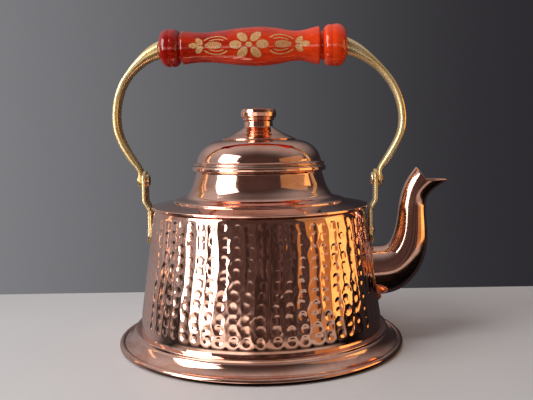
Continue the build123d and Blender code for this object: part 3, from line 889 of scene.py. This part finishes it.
def bail_arm(name, side):
    """Cast brass arm: a flat round lug, an even bow and a horn that meets the grip. share
    runs from 0 at the lug to 1 at the grip, where the end is turned square to it."""
    bow = arm_path(side)
    drop = LUG_RADIUS * (1 - np.cos(np.linspace(0.16, math.pi / 2, 10)))
    straight = np.linspace(PIVOT_Z + 1, LUG_TOP_Z - 1.2, 5)
    lug_z = np.concatenate([PIVOT_Z - LUG_RADIUS + drop, straight])
    path = np.vstack([np.column_stack([np.full(len(lug_z), LUG_X), lug_z]), bow])
    steps = np.linalg.norm(np.diff(bow, axis=0), axis=1)
    shares = np.concatenate([np.zeros(len(lug_z)), [0], np.cumsum(steps) / steps.sum()])
    along = unit_rows(np.gradient(path, axis=0))
    uneven = ripple(61 if side < 0 else 62, 16, 4, 0.55)
    rings = []
    for (x, z), share, way, mark in zip(path, shares, along, travelled(path)):
        horn, root = grown(share, 0.70, 1.0) ** 1.7, grown(share, 0.14, 0.0) ** 1.5
        square = grown(share, 0.93, 1.0)
        thick = ARM_THICK + HORN_THICKER * horn - ROOT_THINNER * root
        wide = ARM_WIDE + HORN_WIDER * horn - ROOT_NARROWER * root
        if z < PIVOT_Z:
            wide = 2 * math.sqrt(max(LUG_RADIUS**2 - (PIVOT_Z - z) ** 2, 0.4))
            thick *= min(1.0, 0.6 + 0.4 * (z - PIVOT_Z + LUG_RADIUS))
        ring = soft_octagon(thick / 2, wide / 2)
        turn = np.arctan2(ring[:, 1], ring[:, 0])
        rough = ARM_UNEVEN * min(1.0, share / 0.1) * uneven(turn, mark)
        ring = ring * (1 + rough / np.linalg.norm(ring, axis=1))[:, None]
        right = np.array([way[1], -way[0]])
        right = unit(right * (1 - square) + np.array([0.0, 1.0]) * np.sign(right[1]) * square)
        rings.append([(x + right[0] * t, w, z + right[1] * t) for t, w in ring])
    return skin(name, rings, capped=True)


def turned_grip():
    """Turned wooden grip: a bead, a groove, a swelling waist, a groove and a bead."""
    left, right = GRIP_LEFT_X, GRIP_RIGHT_X
    parts = [
        shifted(left, (0.05, 2.6), (0.0, 3.6), (0.0, 7.6)),
        arc_through(*shifted(left, (0.1, 8.2), (2.2, 11.9), (7.5, 12.75)), 12),
        arc_through(*shifted(left, (7.5, 12.75), (12.0, 12.2), (13.8, 9.6)), 10)[1:],
        shifted(left, (14.1, 9.45), (14.9, 9.45), (15.25, 9.8), (15.45, 11.0)),
        spline([(left + 15.8, 11.55), (-39.5, 10.3), (-22.0, 11.5), (-1.5, 13.35), (16.0, 11.9),
                (29.0, 10.2), (37.0, 11.8), (right - 19.1, 13.1)], 9),
        shifted(right, (-18.5, 12.95), (-18.05, 12.4), (-17.75, 10.2), (-17.3, 9.75),
                (-16.2, 9.7), (-15.7, 9.9)),
        arc_through(*shifted(right, (-15.6, 10.1), (-13.8, 13.2), (-9.5, 13.88)), 10),
        arc_through(*shifted(right, (-9.5, 13.88), (-2.4, 13.0), (0.0, 9.4)), 12)[1:],
        shifted(right, (0.0, 9.0), (0.0, 3.6), (-0.05, 2.6)),
    ]
    outline = np.vstack([np.asarray(p, float) for p in parts])
    bore = np.array([(right - 6, 2.5), (left + 6, 2.5)])
    outline = np.vstack([outline, bore, outline[:1]])
    return turned_x("turned_grip", outline, GRIP_Z, segments=128)


def lacquer_look():
    """Red lacquer over turned wood, painted with plain flowers, ovals and arcs."""
    look = Look("lacquered_wood")
    x, y, z = look.split()
    height = look.calc("ARCTAN2", z - GRIP_Z, abs(y)) * PAINT_RADIUS
    grain = look.noise(0.6, (0.12, 1.0, 1.0), detail=5.0, rough=0.6, distortion=0.4)
    cloud = look.noise(0.06, detail=4.0, distortion=0.8)
    pores = look.noise(2.6, (0.16, 1.0, 1.0), detail=2.0)
    # Partly painted light: the red runs from dark at the left end to bright orange at the right
    # end, painted in for the warm light on that side. The grain and cloud noise add the wood's own
    # uneven tone on top.
    along = x.span(-70.0, 66.0, kind="LINEAR")
    grain_and_side_light = (along * 0.5 + (grain * 0.55 + cloud * 0.45)).span(0.45, 1.0)
    colour = look.mix(grain_and_side_light, (0.26, 0.006, 0.004), (0.80, 0.055, 0.008))
    colour = look.mix(pores.span(0.6, 0.72, 0.0, 0.55), colour, (0.16, 0.006, 0.004))

    def ellipse(cx, half_x, half_y):
        """Distance from an ellipse's centre, with 1 at its edge."""
        return look.hypot((x - cx) / half_x, height / half_y)

    def petal(cx, angle, reach, length, width):
        """A blunt petal whose middle is reach away from its flower's centre."""
        turn = math.radians(angle)
        px = x - (cx + reach * math.cos(turn))
        py = height - reach * 0.62 * math.sin(turn)
        turn = math.atan2(0.45 * math.sin(turn), math.cos(turn))
        return look.hypot(px * (math.cos(turn) / length) + py * (math.sin(turn) / length),
                          py * (math.cos(turn) / width) - px * (math.sin(turn) / width))

    def either(masks):
        total = masks[0]
        for mask in masks[1:]:
            total = look.calc("MAXIMUM", total, mask)
        return total

    def filled(shapes):
        return either([shape.span(1.06, 0.94) for shape in shapes])

    shapes = [petal(-5.0, 60 * k, 9.2, 4.2, 2.7) for k in range(6)]
    shapes += [petal(-37.6, angle, 5.4, 3.4, 2.1) for angle in (108, 180, 252)]
    shapes += [petal(27.4, angle, 5.4, 3.4, 2.1) for angle in (72, 0, -72)]
    shapes += [ellipse(-5.0, 2.4, 1.5)]
    ovals = [ellipse(cx, 5.8, 2.7) for cx in (-29.6, 18.2)]
    edge = either([s.span(1.12, 1.0) * s.span(0.84, 0.98) for s in shapes + ovals])
    hatch = look.calc("SINE", (x + height * 0.25) * 4.6).span(-0.75, -0.1, 0.45, 1.0)
    arcs = []
    for cx, nearer in ((-28.0, 0.6), (17.2, -0.6)):
        for shift, half_x, half_y, low, thin in ((0.0, 9.4, 6.9, 3.6, 0.055),
                                                 (nearer, 6.9, 4.3, 2.9, 0.075)):
            ring = ellipse(cx + shift, half_x, half_y)
            band = (ring.span(1.0 - thin * 1.6, 1.0 - thin * 0.7)
                    * ring.span(1.0 + thin * 1.6, 1.0 + thin * 0.7))
            arcs.append(band * abs(height).span(low, low + 0.5))
    worn = look.noise(0.9, detail=4.0).span(0.28, 0.5, 0.55, 1.0)
    painted = either([filled(shapes), filled(ovals) * hatch, *arcs]) * worn
    speckle = look.noise(1.8).span(0.4, 0.62)
    colour = look.mix(edge * 0.6, colour, (0.13, 0.012, 0.006))
    colour = look.mix(painted, colour, look.mix(speckle, (0.47, 0.235, 0.085), (0.70, 0.44, 0.21)))
    orange_peel = look.bump(look.noise(0.35, detail=2.0), 0.05)
    look.set(Base_Color=colour, Metallic=0.0, Normal=look.bump(painted, 0.02, orange_peel),
             Roughness=grain.span(0.3, 0.7, 0.26, 0.42), Coat_Weight=1.0,
             Coat_Roughness=0.04, Coat_IOR=1.62, Specular_IOR_Level=0.0)
    return look.material


lacquer, solder = lacquer_look(), solder_look()


# ---- assembly ----
def wear(piece, material):
    """Makes a material the piece's only one."""
    piece.data.materials.clear()
    piece.data.materials.append(material)


def place(piece, material, body, node):
    """Gives a piece its material and its body, and hides the CAD node it stands for."""
    wear(piece, material)
    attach(piece, body)
    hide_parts(node)


wall = hammered_wall()
cut_spout_hole(wall)
place(wall, hammered, "pot", "body_wall")
place(spun_skirt(), copper, "pot", "base_skirt")
place(rolled_base(), copper, "pot", "base_plate")
place(spun_shoulder(), copper, "pot", "shoulder_neck")
place(gooseneck_spout(), spout_copper, "pot", "spout")
place(solder_bead(), solder, "pot", "spout_solder")
place(domed_lid(), copper, "lid", "lid_dome")
place(lid_inner_sleeve(), tinned, "lid", "lid_sleeve")
place(finial_foot(), copper, "lid", "finial_foot")
place(finial_knob(), copper, "lid", "knob_head")
for side_name, side in (("left", -1), ("right", 1)):
    made = [
        (brass_bracket("strip_bracket_" + side_name), strip_brass, "pot", "cast_brass", "bracket_"),
        (leaf_rivet("peened_leaf_rivet_" + side_name), rivet_copper, "pot", "rivet_copper",
         "leaf_rivet_"),
        (pivot_rivet("peened_pivot_" + side_name), rivet_brass, "pot", "rivet_brass",
         "pivot_rivet_"),
        (bail_arm("cast_arm_" + side_name, side), brass, "bail", "cast_brass", "handle_arm_"),
    ]
    for piece, material, body, slot, node in made:
        if side < 0:
            mirror_x(piece)
        place(piece, material, body, node + side_name)
place(turned_grip(), lacquer, "bail", "grip")
for node, material in (("rim_wire", steel), ("knob_stud", steel), ("grip_rod", steel),
                       ("knob_washer", rivet_brass)):
    wear(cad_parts[node], material)

# ---- floor, light and camera ----
def floor():
    """Plain pale table top that ends behind the kettle and stays out of reflections."""
    look = Look("pale_floor")
    tone = look.noise(0.01)
    look.set(Base_Color=look.mix(tone, (0.60, 0.60, 0.61), (0.66, 0.66, 0.67)), Roughness=0.5)
    size_x, near, far, thick = 620.0, -430.0, 150.0, 20.0
    corners = [(sx * size_x, y, z) for z in (-thick, 0.0) for sx in (-1, 1) for y in (near, far)]
    faces = [(4, 6, 7, 5), (0, 1, 3, 2), (0, 2, 6, 4), (1, 5, 7, 3), (0, 4, 5, 1), (2, 3, 7, 6)]
    table = new_piece("floor", corners, faces)
    table.data.transform(Matrix.Rotation(math.radians(CAMERA_AZIMUTH), 4, "Z"))
    table.data.materials.append(look.material)
    table.visible_glossy = False


def hang(name, light, place_at, aim):
    """Puts a light in the scene, turned to face a point."""
    lamp = new_object(name, light)
    lamp.location = place_at
    lamp.rotation_mode = "QUATERNION"
    lamp.rotation_quaternion = (Vector(aim) - lamp.location).to_track_quat("-Z", "Y")
    return lamp


def softbox(name, azimuth, distance, height, width, tall, power, colour, aim_z, spread):
    """Rectangular light that faces the kettle. Azimuth 0 is on the camera's side and
    grows towards the spout. spread is the full angle of its beam."""
    light = bpy.data.lights.new(name, "AREA")
    light.shape, light.size, light.size_y = "RECTANGLE", width, tall
    light.energy, light.color = power, colour
    light.spread = math.radians(spread)
    a = math.radians(azimuth)
    hang(name, light, (distance * math.sin(a), -distance * math.cos(a), height), (0, 0, aim_z))


def overhead():
    """Lamp above the kettle that lights the table round it and stays out of reflections."""
    light = bpy.data.lights.new("overhead", "SPOT")
    light.energy, light.color, light.shadow_soft_size = 9.0, (1.0, 0.98, 0.96), 0.15
    light.spot_size, light.spot_blend = math.radians(60), 0.9
    hang("overhead", light, (-0.25, -0.25, 1.0), (0, 0, 0)).visible_glossy = False


def studio_world():
    """Grey studio room: bright above and behind, paler on the left than on the right, with
    a pale strip of table in front and darkness under it. The camera itself sees a plain
    backdrop that is paler on the left."""
    world = bpy.data.worlds.new("studio")
    bpy.context.scene.world = world
    world.use_nodes = True
    room = Nodes(world.node_tree)
    background = next(n for n in room.tree.nodes if n.type == "BACKGROUND")
    room.place = room.node("ShaderNodeTexCoord", {}, "Generated")
    x, y, z = room.split()

    def lit(amount, colour):
        return room.mix(amount, (0.0, 0.0, 0.0), colour)

    near_half = y.span(0.45, 0.1)
    streaks = room.noise(1.0, (5.0, 5.0, 1.2), detail=2.0).span(0.36, 0.64, -0.5, 0.5)
    below = near_half * z.span(0.0, -0.07)
    fade = (near_half * z.span(0.45, 0.15) * streaks + 1.0) * (1.0 - below * 0.88)
    above = z.span(0.16, 0.9) * y.span(-0.75, 0.1)
    left = (y * 0.3 - x).span(0.2, 1.02)
    walls = room.total(lit(above, (0.38, 0.36, 0.36)), lit(left, PALE_WALL),
                       lit(y.span(-0.3, -1.0), (0.055, 0.03, 0.022)), DARKEST)
    front = y.span(-0.05, -0.5) * z.span(-0.26, -0.18)
    table = z.span(-0.03, -0.07) * front
    glare = x.span(-0.02, -0.22) * x.span(-0.86, -0.7) * (z.span(0.04, -0.07) * front)
    light = room.total(room.vector("SCALE", walls, fade), lit(table, (0.50, 0.44, 0.39)),
                       lit(glare, (1.1, 1.03, 0.98)))
    backdrop = room.total(lit(x.span(0.35, -1.0), PALE_WALL), DARKEST)
    seen = room.node("ShaderNodeLightPath", {}, "Is Camera Ray")
    room.feed(background.inputs["Color"], room.mix(seen, light, backdrop))
    background.inputs["Strength"].default_value = 1.0


def photo_camera():
    """Camera that looks at the kettle as the photograph does."""
    camera_data = bpy.data.cameras.new("camera")
    camera_data.sensor_width, camera_data.lens = SENSOR_WIDTH, LENS
    camera = new_object("camera", camera_data)
    a = math.radians(CAMERA_AZIMUTH)
    camera.location = (CAMERA_DISTANCE * math.sin(a), -CAMERA_DISTANCE * math.cos(a),
                       CAMERA_HEIGHT)
    yaw, tilt, roll = [Matrix.Rotation(math.radians(degrees), 4, axis) for degrees, axis in
                       ((CAMERA_YAW, "Z"), (CAMERA_TILT, "X"), (CAMERA_ROLL, "Z"))]
    camera.rotation_mode = "QUATERNION"
    camera.rotation_quaternion = (yaw @ tilt @ roll).to_quaternion()
    bpy.context.scene.camera = camera


floor()
for row in SOFTBOXES:
    softbox(*row)
overhead()
studio_world()
photo_camera()
bpy.context.scene.view_settings.view_transform = "Standard"
